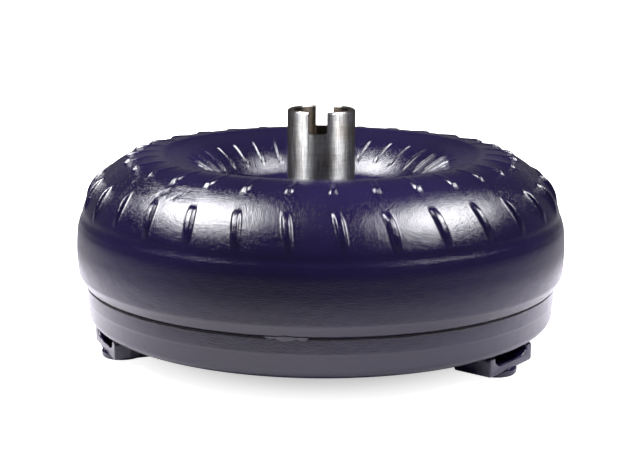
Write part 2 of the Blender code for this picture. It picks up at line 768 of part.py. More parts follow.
# ---- Thrust bearings -------------------------------------------------------------------------------
def thrust_bearing(name, low):
    """A needle thrust bearing: two race plates and, between them, a cage with its needles."""
    race = ring_section(BEARING_INNER, BEARING_OUTER, 0, RACE_PLATE)
    middle = low + RACE_PLATE + GAP + NEEDLE_RADIUS
    plates = {"lower": low, "upper": middle + NEEDLE_RADIUS + GAP}
    for place, height in plates.items():
        turned(f"{name}_{place}_race", race, machined_steel, 24).location.z = height * MM
    half = CAGE_PLATE / 2
    cage_section = ring_section(BEARING_INNER + 0.6, BEARING_OUTER - 0.6, middle - half, middle + half)
    cage = turned(f"{name}_cage", cage_section, spring_steel, 24)
    combine(cage, add_cutter(f"{name}_needles", needle_mesh(name, middle)), "UNION")


def needle_mesh(name, height):
    shape = bmesh.new()
    length = BEARING_OUTER - BEARING_INNER - 3.6
    middle = (BEARING_OUTER + BEARING_INNER) / 2
    for i in range(BEARING_NEEDLES):
        rod = bmesh.ops.create_cone(
            shape,
            cap_ends=True,
            segments=6,
            radius1=NEEDLE_RADIUS * MM,
            radius2=NEEDLE_RADIUS * MM,
            depth=length * MM,
        )
        turn = 2 * math.pi * (i + 0.4) / BEARING_NEEDLES
        bmesh.ops.rotate(shape, verts=rod["verts"], matrix=Matrix.Rotation(math.pi / 2, 3, "Y"))
        bmesh.ops.translate(shape, verts=rod["verts"], vec=(middle * MM, 0, height * MM))
        bmesh.ops.rotate(shape, verts=rod["verts"], matrix=Matrix.Rotation(turn, 3, "Z"))
    mesh = bpy.data.meshes.new(f"{name}_needles")
    shape.to_mesh(mesh)
    shape.free()
    return mesh


def thrust_bearings():
    stack = 2 * RACE_PLATE + 2 * NEEDLE_RADIUS + 2 * GAP
    thrust_bearing("turbine_bearing", above_cover(STATOR_BOTTOM) - GAP - stack)
    thrust_bearing("pump_bearing", above_cover(ROLLER_ZONE[1]) + CLUTCH_PLATE + 2 * GAP)


# ---- Assembly --------------------------------------------------------------------------------------

clear_scene()
parts = collection(COLLECTION)
cutters = collection(CUTTERS, hidden=True)
blue_paint = material("indigo_paint", (0.035, 0.025, 0.12), 0.22, 0.0)
machined_steel = material("machined_steel", (0.56, 0.54, 0.52), 0.3, 1.0)
sheet_steel = material("sheet_steel", (0.42, 0.42, 0.43), 0.42, 1.0)
spring_steel = material("spring_steel", (0.3, 0.31, 0.34), 0.35, 1.0)
cast_aluminium = material("cast_aluminium", (0.66, 0.67, 0.68), 0.5, 1.0)
bronze = material("bronze", (0.55, 0.36, 0.16), 0.35, 1.0)

front_cover()
crank_pilot()
mounting_lugs()
impeller_shell()
weld_beads()
impeller_hub()
impeller_vanes()
front_thrust_washer()
turbine_shell()
turbine_vanes()
turbine_hub()
turbine_rivets()
stator_wheel()
clutch_cam()
rollers_and_springs()
clutch_retainer()
inner_race()
thrust_bearings()
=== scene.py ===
"""The looks of the torque converter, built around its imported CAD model, and the studio it stands in.

Lengths are in millimetres until a mesh is made. Profiles are lists of (radius, height) points, and
heights are above the floor, where the lug feet stand.
"""

import math

import bmesh
import bpy
import numpy as np
from mathutils import Matrix, Vector

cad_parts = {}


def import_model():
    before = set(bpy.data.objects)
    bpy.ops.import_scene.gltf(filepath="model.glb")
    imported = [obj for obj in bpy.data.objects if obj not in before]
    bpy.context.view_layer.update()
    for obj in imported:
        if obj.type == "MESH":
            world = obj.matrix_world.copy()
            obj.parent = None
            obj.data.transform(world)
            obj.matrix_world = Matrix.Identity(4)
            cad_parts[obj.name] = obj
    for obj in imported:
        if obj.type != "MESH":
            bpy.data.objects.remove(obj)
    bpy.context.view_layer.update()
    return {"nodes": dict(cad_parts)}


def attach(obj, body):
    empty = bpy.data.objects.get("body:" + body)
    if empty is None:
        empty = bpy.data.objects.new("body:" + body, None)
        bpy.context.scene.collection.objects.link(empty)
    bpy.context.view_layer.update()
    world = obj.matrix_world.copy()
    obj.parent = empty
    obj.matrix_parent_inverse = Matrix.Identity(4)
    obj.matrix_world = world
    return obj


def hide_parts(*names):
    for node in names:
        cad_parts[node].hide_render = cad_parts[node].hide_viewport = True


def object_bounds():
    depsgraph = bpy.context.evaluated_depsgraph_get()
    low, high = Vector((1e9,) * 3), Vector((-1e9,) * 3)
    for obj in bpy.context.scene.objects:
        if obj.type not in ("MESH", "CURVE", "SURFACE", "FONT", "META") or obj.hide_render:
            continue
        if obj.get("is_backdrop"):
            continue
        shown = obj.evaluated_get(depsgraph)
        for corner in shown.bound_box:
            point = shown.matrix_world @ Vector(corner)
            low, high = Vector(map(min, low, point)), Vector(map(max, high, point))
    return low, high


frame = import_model()

MM = 0.001

# ---- Dimensions, as in the CAD ---------------------------------------------------------------------
COVER_LOW = 17.2
COVER_RADIUS = 165.3
COVER_WALL = 4.0
COVER_FLOOR = 5.0
COVER_CORNER = 7.1
COVER_TOP = 57.2

SHELL_RADIUS = 172.2
SHELL_THICKNESS = 5.0
SHELL_EQUATOR = 53.0
SKIRT_FOOT = (171.4, 51.5)
SKIRT_LIP = (166.5, 45.2)
SKIRT_INSIDE = 166.0
SKIRT_TOP = 58.8
SKIRT_INSIDE_FOOT = 46.2
CROWN_RADIUS = 117.0
CROWN_HEIGHT = 133.2
SHOULDER_POWERS = (1.89, 2.8)
BOWL_ARC_RADIUS = 62.0
BOWL_SLOPE = math.radians(46.5)
BOWL_SLOPE_INSIDE = math.radians(41)
# the break at the bowl's rim: the radii where it starts, is deepest and has faded out, and its depth
BOWL_CREASE = (112.4, 109.6, 93.0, 1.1)
BOWL_FLOOR = 103.2
BOWL_FLOOR_RADIUS = 54.0

HUB_RADIUS = 23.81
HUB_BORE = 19.05
HUB_TOP = 162.75
HUB_FLANGE_RADIUS = 48.0
HUB_FLANGE_TOP = 97.9
HUB_FLANGE_LOW = 89.7
HUB_SLOT = (13.0, 15.0)
HUB_SLOT_ANGLE = math.radians(-88.7)
HUB_CHAMFER = 1.0

PILOT_RADIUS = 21.6
PILOT_LOW = 1.7
PILOT_TOP = 16.9

LUG_ANGLES = [math.radians(a) for a in (90, 210, 330)]
LUG_WIDTH = 53.6
LUG_LEG = 7.0
LUG_PLATE = (4.3, 10.3)
LUG_TOP = 16.9
LUG_INNER = 131.0
LUG_OUTER = 158.6
BOLT_CIRCLE = 146.05
BOSS_RADIUS = 14.5
BOSS_COLLAR = 12.0
BOLT_RADIUS = 4.76
THREAD_PITCH = 1.27
THREAD_DEPTH = 0.7

CLOSURE_FOOT = 43.7
# where the closure weld ran out over its groove and took paint: angle, how full, half width, in degrees
CLOSURE_RUNS = ((-89.4, 1.0, 3.6), (-92.7, 0.55, 1.7), (-86.2, 0.75, 1.5), (64, 0.8, 3), (171, 0.9, 3.5))
# the rubbed patch on the shoulder: its middle and half width, as angles
RUBBED_PATCH = (math.radians(-131), math.radians(22))

GAP = 0.3

# ---- Faint rings left by the press: height, half width, how far they stand out ---------------------
SHELL_RINGS = ((93.0, 2.8, -0.4), (89.2, 1.2, 0.1), (83.5, 4.5, 0.5))
SHELL_RING_ZONE = (84, 98)  # the heights between which the rings need closer rows
SKIRT_TAPER = (77, 1.3)  # below this height the skirt draws in by this much to its foot
COVER_RINGS = ((32.6, 0.9, -0.45),)
COVER_TAPER = 0.9

# ---- Vane-tab ribs pressed through the shell --------------------------------------------------------
VANES = 31
VANE_STEP = 2 * math.pi / VANES
VANE_ANGLE = math.radians(-89.5)
# each row: half width of a rib, and its height at these radii
RIB_ROWS = (
    (3.5, (151.4, 152.6, 154.2, 156, 159, 162.1, 163.3, 164.2, 165.1, 166.2),
     (0, 0.7, 1.6, 2.3, 2.6, 2.2, 1.8, 1.3, 0.7, 0)),
    (3.2, (112, 118, 126, 131, 134.3, 136.3, 138.3), (0, 0.2, 0.5, 1.1, 1.8, 1.3, 0)),
    (2.1, (71.8, 73.5, 76, 82, 88, 89.8, 91.2), (0, 1.1, 1.4, 1.3, 1.3, 0.9, 0)),
)
RIB_EDGE = 0.55  # the share of a rib's half width that its rounded edge takes
RIB_LEAN_RADII = (24, 73, 90, 114, 137, 152, 166, 172)
RIB_LEAN_DEGREES = (2.8, 2.8, 0.9, -0.6, -1.24, -0.9, 0.5, 0.5)
# distances between the shell's rows: at bends and rings, across the ribs, and elsewhere
ROW_STEPS = (0.9, 1.2, 3.2)
# one sector's columns, in degrees from the rib's middle, close together across the rib
RIB_COLUMNS = (0, 0.22, 0.44, 0.66, 0.88, 1.1, 1.34, 1.64, 2.05, 2.7, 3.7, 4.75)


# takes an outline's x, y and depth to Y, Z and X
SIDEWAYS = Matrix(((0, 0, 1, 0), (1, 0, 0, 0), (0, 1, 0, 0), (0, 0, 0, 1)))


# ---- Outlines ----------------------------------------------------------------------------------------
def angles_round(columns):
    return np.arange(columns) * 2 * math.pi / columns


def arc(centre, radius, start, end, steps):
    """Points along a circular arc, with its angles in degrees."""
    angles = [math.radians(start + (end - start) * i / steps) for i in range(steps + 1)]
    return [(centre[0] + radius * math.cos(a), centre[1] + radius * math.sin(a)) for a in angles]


def filleted(points, radius, steps=4, closed=True):
    """The outline with each corner rounded, or cut less where its sides are too short for that."""
    found = []
    count = len(points)
    for i, corner in enumerate(points):
        if not closed and i in (0, count - 1):
            found.append(corner)
            continue
        here, before, after = Vector(corner), Vector(points[i - 1]), Vector(points[(i + 1) % count])
        back, on = before - here, after - here
        reach = min(radius, back.length * 0.45, on.length * 0.45)
        start, end = here + back.normalized() * reach, here + on.normalized() * reach
        for k in range(steps + 1):
            t = k / steps
            found.append(tuple(start * (1 - t) ** 2 + here * 2 * t * (1 - t) + end * t ** 2))
    return found


def resampled(points, spacing):
    """The same line with points at even steps of about this length."""
    line = np.array(points)
    walked = np.concatenate([[0], np.cumsum(np.linalg.norm(np.diff(line, axis=0), axis=1))])
    places = np.linspace(0, walked[-1], max(2, round(walked[-1] / spacing) + 1))
    return np.column_stack([np.interp(places, walked, line[:, i]) for i in (0, 1)])


# ---- Meshes ------------------------------------------------------------------------------------------
def placed(name, data):
    """A new object with this data, in the scene."""
    made = bpy.data.objects.new(name, data)
    bpy.context.scene.collection.objects.link(made)
    return made


def piece(name, mesh, material, body, replaced=(), crease=40):
    made = placed(name, mesh)
    mesh.materials.clear()
    mesh.materials.append(material)
    mesh.shade_smooth()
    mesh.set_sharp_from_angle(angle=math.radians(crease))
    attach(made, body)
    if replaced:
        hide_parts(*replaced)
    return made


def grid_mesh(name, places):
    """A closed surface through an array of (row, column, xyz) places in millimetres, joined up both ways."""
    rows, columns = places.shape[:2]
    index = np.arange(rows * columns).reshape(rows, columns)
    right, up = np.roll(index, -1, axis=1), np.roll(index, -1, axis=0)
    faces = np.stack([index, right, np.roll(right, -1, axis=0), up], axis=-1).reshape(-1, 4)
    mesh = bpy.data.meshes.new(name)
    mesh.from_pydata((places.reshape(-1, 3) * MM).tolist(), [], faces.tolist())
    return outward(mesh)


def outward(mesh):
    shape = bmesh.new()
    shape.from_mesh(mesh)
    bmesh.ops.remove_doubles(shape, verts=shape.verts, dist=0.000002)
    bmesh.ops.recalc_face_normals(shape, faces=shape.faces)
    shape.to_mesh(mesh)
    shape.free()
    return mesh


def turned_places(profile, angles):
    """Each profile point turned to each angle. Angles may differ from row to row."""
    line = np.array(profile)
    angles = np.broadcast_to(angles, (len(line), np.shape(angles)[-1]))
    radius = line[:, :1]
    height = np.broadcast_to(line[:, 1:], angles.shape)
    return np.stack([radius * np.cos(angles), radius * np.sin(angles), height], axis=-1)


def turned(name, profile, columns):
    """A closed profile turned about Z."""
    angles = angles_round(columns)
    return grid_mesh(name, turned_places(profile, angles))


def turned_solid(name, profile, columns):
    """A profile from the axis to the axis, turned about Z into a body with no hole."""
    middle = [p for p in profile if p[0] > 0]
    angles = angles_round(columns)
    places = turned_places(middle, angles).reshape(-1, 3) * MM
    ends = [(0, 0, profile[0][1] * MM), (0, 0, profile[-1][1] * MM)]
    faces = []
    for row in range(len(middle) - 1):
        for k in range(columns):
            low, high = row * columns, (row + 1) * columns
            faces.append((low + k, low + (k + 1) % columns, high + (k + 1) % columns, high + k))
    first, last = len(places), len(places) + 1
    for k in range(columns):
        faces.append((first, (k + 1) % columns, k))
        base = (len(middle) - 1) * columns
        faces.append((last, base + k, base + (k + 1) % columns))
    mesh = bpy.data.meshes.new(name)
    mesh.from_pydata(places.tolist() + ends, [], faces)
    return outward(mesh)


def prism_mesh(name, outline, low, high):
    """An outline in the XY plane made solid between two heights."""
    shape = bmesh.new()
    ends = [[shape.verts.new((x * MM, y * MM, z * MM)) for x, y in outline] for z in (low, high)]
    shape.faces.new(ends[0][::-1])
    shape.faces.new(ends[1])
    count = len(outline)
    for k in range(count):
        after = (k + 1) % count
        shape.faces.new((ends[0][k], ends[0][after], ends[1][after], ends[1][k]))
    mesh = bpy.data.meshes.new(name)
    shape.to_mesh(mesh)
    shape.free()
    return outward(mesh)


def cut(mesh, cutter, bevel, segments=3):
    """The mesh with the cutter taken out and its sharp edges rounded."""
    body, tool = placed("cut_body", mesh), placed("cut_tool", cutter)
    boolean = body.modifiers.new("cut", "BOOLEAN")
    boolean.operation = "DIFFERENCE"
    boolean.solver = "EXACT"
    boolean.object = tool
    edge = body.modifiers.new("edge", "BEVEL")
    edge.width = bevel * MM
    edge.segments = segments
    edge.limit_method = "ANGLE"
    edge.angle_limit = math.radians(35)
    edge.harden_normals = False
    graph = bpy.context.evaluated_depsgraph_get()
    made = bpy.data.meshes.new_from_object(body.evaluated_get(graph))
    for thing in (body, tool):
        bpy.data.objects.remove(thing)
    made.name = mesh.name
    return made


# ---- Materials ---------------------------------------------------------------------------------------
class Finish:
    """A material on one Principled shader, with short calls for its nodes."""

    def __init__(self, name, **constants):
        self.material = bpy.data.materials.new(name)
        self.material.use_nodes = True
        self.tree = self.material.node_tree
        self.shader = self.tree.nodes["Principled BSDF"]
        for socket, value in constants.items():
            self.shader.inputs[socket.replace("_", " ")].default_value = value
        self.place = self.add("ShaderNodeTexCoord").outputs["Object"]

    def add(self, kind, inputs=None, **settings):
        node = self.tree.nodes.new(kind)
        for key, value in settings.items():
            setattr(node, key, value)
        for key, value in (inputs or {}).items():
            self.feed(node.inputs[key], value)
        return node

    def feed(self, socket, value):
        if isinstance(value, bpy.types.NodeSocket):
            self.tree.links.new(value, socket)
        else:
            socket.default_value = value

    def math(self, operation, a, b=0.0):
        return self.add("ShaderNodeMath", {0: a, 1: b}, operation=operation).outputs[0]

    def vector(self, *parts):
        return self.add("ShaderNodeCombineXYZ", dict(enumerate(parts))).outputs[0]

    def rgb(self, red, green, blue):
        return self.add("ShaderNodeCombineColor", {0: red, 1: green, 2: blue}).outputs[0]

    def remap(self, value, low, high, to_low=0.0, to_high=1.0, smooth=True):
        kind = "SMOOTHSTEP" if smooth else "LINEAR"
        inputs = {"Value": value, "From Min": low, "From Max": high, "To Min": to_low, "To Max": to_high}
        return self.add("ShaderNodeMapRange", inputs, interpolation_type=kind).outputs["Result"]

    def noise(self, scale, detail=3.0, rough=0.5, place=None, distortion=0.0):
        inputs = {
            "Vector": place or self.place,
            "Scale": scale,
            "Detail": detail,
            "Roughness": rough,
            "Distortion": distortion,
        }
        return self.add("ShaderNodeTexNoise", inputs).outputs["Fac"]

    def blend(self, factor, a, b, mode="MIX"):
        node = self.add("ShaderNodeMix", data_type="RGBA", blend_type=mode)
        for socket, value in zip((node.inputs[0], node.inputs[6], node.inputs[7]), (factor, a, b)):
            self.feed(socket, value)
        return node.outputs[2]

    def cylinder(self):
        """The place as (distance from the axis, height, angle round it)."""
        split = self.add("ShaderNodeSeparateXYZ", {0: self.place}).outputs
        flat = self.vector(split[0], split[1])
        radius = self.add("ShaderNodeVectorMath", {0: flat}, operation="LENGTH").outputs["Value"]
        turn = self.math("ARCTAN2", split[1], split[0])
        return radius, split[2], turn

    def bump(self, height, distance, normal=None):
        inputs = {"Strength": 1.0, "Distance": distance, "Height": height}
        if normal:
            inputs["Normal"] = normal
        return self.add("ShaderNodeBump", inputs).outputs["Normal"]

    def finish(self, **sockets):
        for key, value in sockets.items():
            self.feed(self.shader.inputs[key.replace("_", " ")], value)
        return self.material


def colour(red, green, blue):
    """An sRGB colour from 0 to 255 as a linear one."""
    def linear(part):
        part /= 255
        return part / 12.92 if part <= 0.04045 else ((part + 0.055) / 1.055) ** 2.4

    return (linear(red), linear(green), linear(blue), 1.0)


def indigo_paint():
    """Sprayed gloss enamel with fine orange peel, and one patch that was rubbed while it was soft."""
    f = Finish(
        "indigo_paint", Metallic=0.0, Specular_IOR_Level=0.5, IOR=1.5, Coat_Weight=0.35, Coat_Roughness=0.06
    )
    radius, height, turn = f.cylinder()
    peel = f.noise(1200, 2.0, 0.6)
    slow = f.noise(150, 2.0, 0.5)
    wide = f.noise(9, 3.0, 0.5)
    around = f.vector(f.math("MULTIPLY", turn, 0.02), radius, height)
    strokes = f.noise(480, 4.0, 0.72, around, 0.9)
    from_patch = f.math("ABSOLUTE", f.math("SUBTRACT", turn, RUBBED_PATCH[0]))
    rubbed = f.remap(from_patch, RUBBED_PATCH[1], RUBBED_PATCH[1] * 0.55)
    rubbed = f.math("MULTIPLY", rubbed, f.remap(radius, 0.1365, 0.1405))
    rubbed = f.math("MULTIPLY", rubbed, f.remap(radius, 0.1525, 0.1485))
    rubbed = f.math("MULTIPLY", rubbed, f.remap(f.noise(40, 3.0, 0.6), 0.36, 0.5))
    normal = f.bump(slow, 0.00018)
    normal = f.bump(peel, 0.00023, normal)
    normal = f.bump(f.math("MULTIPLY", strokes, rubbed), 0.001, normal)
    deep, light = colour(16, 12, 36), colour(21, 16, 45)
    base = f.blend(f.remap(wide, 0.35, 0.65), deep, light)
    dust = f.remap(f.noise(900, 2.0, 0.7), 0.70, 0.80, 0.0, 0.25)
    base = f.blend(dust, base, colour(58, 56, 72))
    rough = f.remap(f.noise(34, 4.0, 0.6), 0.3, 0.7, 0.1, 0.16)
    return f.finish(Base_Color=base, Roughness=rough, Normal=normal, Coat_Normal=normal)


def seam_shade_and_bare_weld():
    """The bottom of the closure groove: black, matt and crusty, as painted shade for the shadowed gap under
    the lip and as bare weld that spray hardly reached.
    """
    f = Finish("seam_shade_and_bare_weld", Metallic=0.0, IOR=1.5, Specular_IOR_Level=0.2)
    seam_mottle = f.noise(400, 4.0, 0.6)
    # painted shade: near-black mottled colour in the groove under the lip
    base = f.blend(f.remap(seam_mottle, 0.35, 0.65), colour(9, 8, 11), colour(20, 16, 20))
    rough = f.remap(seam_mottle, 0.3, 0.7, 0.6, 0.8)
    return f.finish(Base_Color=base, Roughness=rough, Normal=f.bump(seam_mottle, 0.0004))


def turned_steel(name, bright, stain, roughness, anisotropy=0.75, ring_scale=2600.0, stain_share=0.45,
                 metallic=1.0, bore=0):
    """Steel from the lathe: fine rings, which draw its highlights out along the axis, and a brownish film.

    A bore of this radius, in metres, gets long streaks that grow darker towards the bottom, a darker brown
    inside the bore, and painted shade in brown where the surface turns away from the view."""
    f = Finish(
        name, Metallic=metallic, Anisotropic=anisotropy, Anisotropic_Rotation=0.25,
        Specular_IOR_Level=0.5,
    )
    radius, height, turn = f.cylinder()
    slow_turn = f.math("MULTIPLY", turn, 0.0009)
    rings_at = f.vector(radius, height, slow_turn)
    fine = f.noise(ring_scale, 3.0, 0.65, rings_at)
    coarse = f.noise(ring_scale / 3, 2.0, 0.5, rings_at)
    film = f.remap(f.noise(38, 4.0, 0.6), 0.45, 0.72, 0.0, stain_share)
    base = f.blend(film, bright, stain)
    shade = f.remap(coarse, 0.3, 0.7, 0.82, 1.0, smooth=False)
    base = f.blend(1.0, base, f.rgb(shade, shade, shade), "MULTIPLY")
    if bore:
        around = f.vector(turn, f.math("MULTIPLY", height, 3.0))
        drawn = f.remap(f.noise(14.0, 4.0, 0.75, around), 0.36, 0.62, 0.55, 1.18, smooth=False)
        # the streaks grow darker towards the bottom of the hub
        drawn = f.math("MULTIPLY", drawn, f.remap(height, bore * 5.3, bore * 8.2, 0.42, 1.0))
        drawn = f.rgb(drawn, drawn, drawn)
        base = f.blend(1.0, base, drawn, "MULTIPLY")
        # painted shade: brown where the surface turns away from the view, at the hub's sides
        edge = f.remap(f.add("ShaderNodeLayerWeight", {0: 0.5}).outputs["Facing"], 0.42, 0.8, 0.0, 0.85)
        base = f.blend(edge, base, colour(74, 60, 46))
        inside = f.remap(radius, bore + 0.0006, bore + 0.0002)
        base = f.blend(f.math("MULTIPLY", inside, 0.9), base, colour(62, 50, 36))
    rough = f.remap(fine, 0.25, 0.75, roughness * 0.75, roughness * 1.35)
    normal = f.bump(f.math("ADD", fine, coarse), 0.00002)
    tangent = f.add("ShaderNodeTangent", direction_type="RADIAL", axis="Z").outputs[0]
    return f.finish(Base_Color=base, Roughness=rough, Normal=normal, Tangent=tangent)


def sheet_steel():
    """Pressed and furnace-brazed sheet: drawing marks, a matt film and straw-to-blue heat colours."""
    f = Finish("brazed_sheet_steel", Metallic=1.0)
    marks = f.noise(260, 5.0, 0.7)
    heat = f.noise(22, 3.0, 0.55)
    base = f.blend(f.remap(heat, 0.35, 0.55), colour(150, 148, 146), colour(128, 116, 96))
    base = f.blend(f.remap(heat, 0.55, 0.72, 0.0, 0.7), base, colour(84, 88, 112))
    base = f.blend(f.remap(marks, 0.62, 0.78, 0.0, 0.5), base, colour(70, 68, 66))
    rough = f.remap(marks, 0.3, 0.7, 0.32, 0.52)
    return f.finish(Base_Color=base, Roughness=rough, Normal=f.bump(marks, 0.00004))


def spring_steel():
    """Blued strip with long rolling lines."""
    f = Finish("blued_spring_steel", Metallic=1.0)
    split = f.add("ShaderNodeSeparateXYZ", {0: f.place}).outputs
    drawn = f.vector(split[2], f.math("MULTIPLY", split[0], 0.05))
    lines = f.noise(3200, 2.0, 0.6, drawn)
    tone = f.noise(60, 3.0, 0.5)
    base = f.blend(f.remap(tone, 0.3, 0.7), colour(74, 78, 96), colour(108, 104, 104))
    rough = f.remap(lines, 0.3, 0.7, 0.22, 0.38)
    return f.finish(Base_Color=base, Roughness=rough, Normal=f.bump(lines, 0.00001))


def cast_aluminium():
    """Die-cast skin: pebbled, dull, a little darker in its low spots."""
    f = Finish("cast_aluminium", Metallic=1.0)
    pebble = f.noise(700, 4.0, 0.6)
    cloud = f.noise(30, 4.0, 0.55)
    base = f.blend(f.remap(cloud, 0.3, 0.7), colour(176, 178, 180), colour(148, 149, 150))
    base = f.blend(f.remap(pebble, 0.5, 0.3, 0.0, 0.45), base, colour(98, 98, 98))
    rough = f.remap(pebble, 0.3, 0.7, 0.62, 0.4)
    return f.finish(Base_Color=base, Roughness=rough, Normal=f.bump(pebble, 0.00012))


def bronze():
    """Sintered bronze: fine pores, with a browner film in patches."""
    f = Finish("sintered_bronze", Metallic=1.0)
    pores = f.remap(f.noise(2400, 2.0, 0.7), 0.62, 0.72)
    film = f.remap(f.noise(45, 4.0, 0.6), 0.4, 0.7)
    base = f.blend(film, colour(192, 146, 92), colour(140, 98, 58))
    base = f.blend(pores, base, colour(62, 44, 30))
    rough = f.remap(film, 0, 1, 0.28, 0.46)
    depth = f.math("SUBTRACT", 1.0, pores)
    return f.finish(Base_Color=base, Roughness=rough, Normal=f.bump(depth, 0.00005))


# ---- Housing -----------------------------------------------------------------------------------------
def shoulder_line(steps):
    """The outside of the shell from its equator up to the crown."""
    across, up = SHELL_RADIUS - CROWN_RADIUS, CROWN_HEIGHT - SHELL_EQUATOR
    found = []
    for i in range(steps + 1):
        turn = math.pi / 2 * (1 - i / steps)
        reach = max(math.sin(turn), 0) ** (2 / SHOULDER_POWERS[0])
        rise = max(math.cos(turn), 0) ** (2 / SHOULDER_POWERS[1])
        height = SHELL_EQUATOR + up * rise
        radius = CROWN_RADIUS + across * reach + raised_by(SHELL_RINGS, height) - skirt_taper(height)
        found.append((radius, height))
    return found


def raised_by(rings, height):
    """How far these faint rings stand out at this height."""
    return sum(rise * math.exp(-(((height - middle) / width) ** 2)) for middle, width, rise in rings)


def skirt_taper(height):
    start, most = SKIRT_TAPER
    return most * min(1, max(0, (start - height) / (start - SHELL_EQUATOR))) ** 1.5


def shell_outside(slope=BOWL_SLOPE):
    """From the lip up over the shoulder and the crown, down the bowl and in along its floor to the hole."""
    ends = 90 + math.degrees(slope)
    bowl = arc((CROWN_RADIUS, CROWN_HEIGHT - BOWL_ARC_RADIUS), BOWL_ARC_RADIUS, 90, ends, 120)[1:]
    if slope == BOWL_SLOPE:
        start, deepest, fades, depth = BOWL_CREASE
        bowl = [(r, z - depth * np.interp(r, (fades, deepest, start), (0, 1, 0))) for r, z in bowl]
    run = (bowl[-1][1] - BOWL_FLOOR) / math.tan(slope)
    corner = (bowl[-1][0] - run, BOWL_FLOOR)
    hole = HUB_RADIUS + GAP
    taper = SKIRT_TAPER[1]
    equator, foot = (SHELL_RADIUS - taper, SHELL_EQUATOR), (SKIRT_FOOT[0] - taper, SKIRT_FOOT[1])
    lip = filleted([(SKIRT_INSIDE, SKIRT_INSIDE_FOOT), SKIRT_LIP, foot, equator], 1.2, 5, closed=False)[1:-1]
    floor = filleted([bowl[-1], corner, (hole + 1, BOWL_FLOOR)], 11, 14, closed=False)[1:]
    edge = arc((hole + 1, BOWL_FLOOR - 1), 1, 90, 180, 4)[1:]
    return lip + shoulder_line(400) + bowl + floor + edge


def shell_rows():
    """The outside profile with its points close together where the ribs and the faint rings are."""
    dense = resampled(shell_outside(), 0.25)
    walked = np.concatenate([[0], np.cumsum(np.linalg.norm(np.diff(dense, axis=0), axis=1))])
    places = [0.0]
    while places[-1] < walked[-1]:
        here = places[-1]
        radius, height = (np.interp(here, walked, dense[:, i]) for i in (0, 1))
        ribbed = any(radii[0] - 1 < radius < radii[-1] + 1 for _, radii, _ in RIB_ROWS)
        ringed = SHELL_RING_ZONE[0] < height < SHELL_RING_ZONE[1] and radius > CROWN_RADIUS
        bend = here < 11 or here > walked[-1] - 4 or BOWL_CREASE[1] - 1 < radius < BOWL_CREASE[0] + 1
        if bend or ringed:
            step = ROW_STEPS[0]
        elif ribbed and height > SHELL_RING_ZONE[0]:
            step = ROW_STEPS[1]
        else:
            step = ROW_STEPS[2]
        places.append(here + step)
    places[-1] = walked[-1]
    return np.column_stack([np.interp(places, walked, dense[:, i]) for i in (0, 1)])


def shell_mesh():
    line = shell_rows()
    inward = np.arange(len(line)) > np.argmax(line[:, 0])
    half_columns = [c for c in RIB_COLUMNS if c > 0]
    local = np.radians([-c for c in half_columns[::-1]] + [0] + half_columns + [180 / VANES])
    lean = np.radians(np.interp(line[:, 0], RIB_LEAN_RADII, RIB_LEAN_DEGREES))
    tangent = np.gradient(line, axis=0)
    tangent /= np.linalg.norm(tangent, axis=1)[:, None]
    normal = np.column_stack([tangent[:, 1], -tangent[:, 0]])
    lifted = []
    for vane in range(VANES):
        middle = VANE_ANGLE + vane * VANE_STEP
        lift = np.zeros((len(line), len(local)))
        for number, (half, radii, heights) in enumerate(RIB_ROWS):
            wobble = math.sin(vane * 2.4 + number * 1.7)
            rise = np.interp(line[:, 0] + wobble * 0.35, radii, heights) * inward
            rise = np.convolve(rise, (0.25, 0.5, 0.25), "same") * (1 + 0.06 * math.sin(vane * 4.1 + number))
            width = half * (0.8 + 0.2 * np.clip(rise / max(heights), 0, 1) ** 0.5)
            across = np.abs(local[None, :] - wobble * 0.0012) * line[:, :1] / width[:, None]
            edge = np.clip((1 - across) / RIB_EDGE, 0, 1)
            lift = np.maximum(lift, rise[:, None] * edge * edge * (3 - 2 * edge))
        angles = middle + lean[:, None] + local[None, :]
        places = turned_places(line, angles)
        outward_by = lift * normal[:, :1]
        places[:, :, 0] += outward_by * np.cos(angles)
        places[:, :, 1] += outward_by * np.sin(angles)
        places[:, :, 2] += lift * normal[:, 1:]
        lifted.append(places)
    outside = np.concatenate(lifted, axis=1)
    angles = np.concatenate([VANE_ANGLE + v * VANE_STEP + local for v in range(VANES)])
    inner_line = shell_inside()
    inside = turned_places(inner_line, angles)
    return grid_mesh("impeller_shell_skin", np.concatenate([outside, inside], axis=0))


def shell_inside():
    """The inside of the shell, from the hole back to the lip."""
    line = shell_outside(BOWL_SLOPE_INSIDE)
    outer = resampled([p for p in line if p[1] > 74 and p[0] > BOWL_FLOOR_RADIUS], 8)
    step = np.gradient(outer, axis=0)
    step /= np.linalg.norm(step, axis=1)[:, None]
    inner = outer + np.column_stack([step[:, 1], -step[:, 0]]) * -SHELL_THICKNESS
    inner = [tuple(p) for p in inner if p[1] > BOWL_FLOOR - SHELL_THICKNESS + 0.5 and p[0] < SKIRT_INSIDE]
    hole, under = HUB_RADIUS + GAP, BOWL_FLOOR - SHELL_THICKNESS
    start = [(hole, under + 0.6), (hole + 0.6, under), (BOWL_FLOOR_RADIUS + 2, under)]
    end = [(SKIRT_INSIDE, SKIRT_TOP), (SKIRT_INSIDE, SKIRT_INSIDE_FOOT), (SKIRT_INSIDE + 0.1, 45.7)]
    return start + inner[::-1] + end


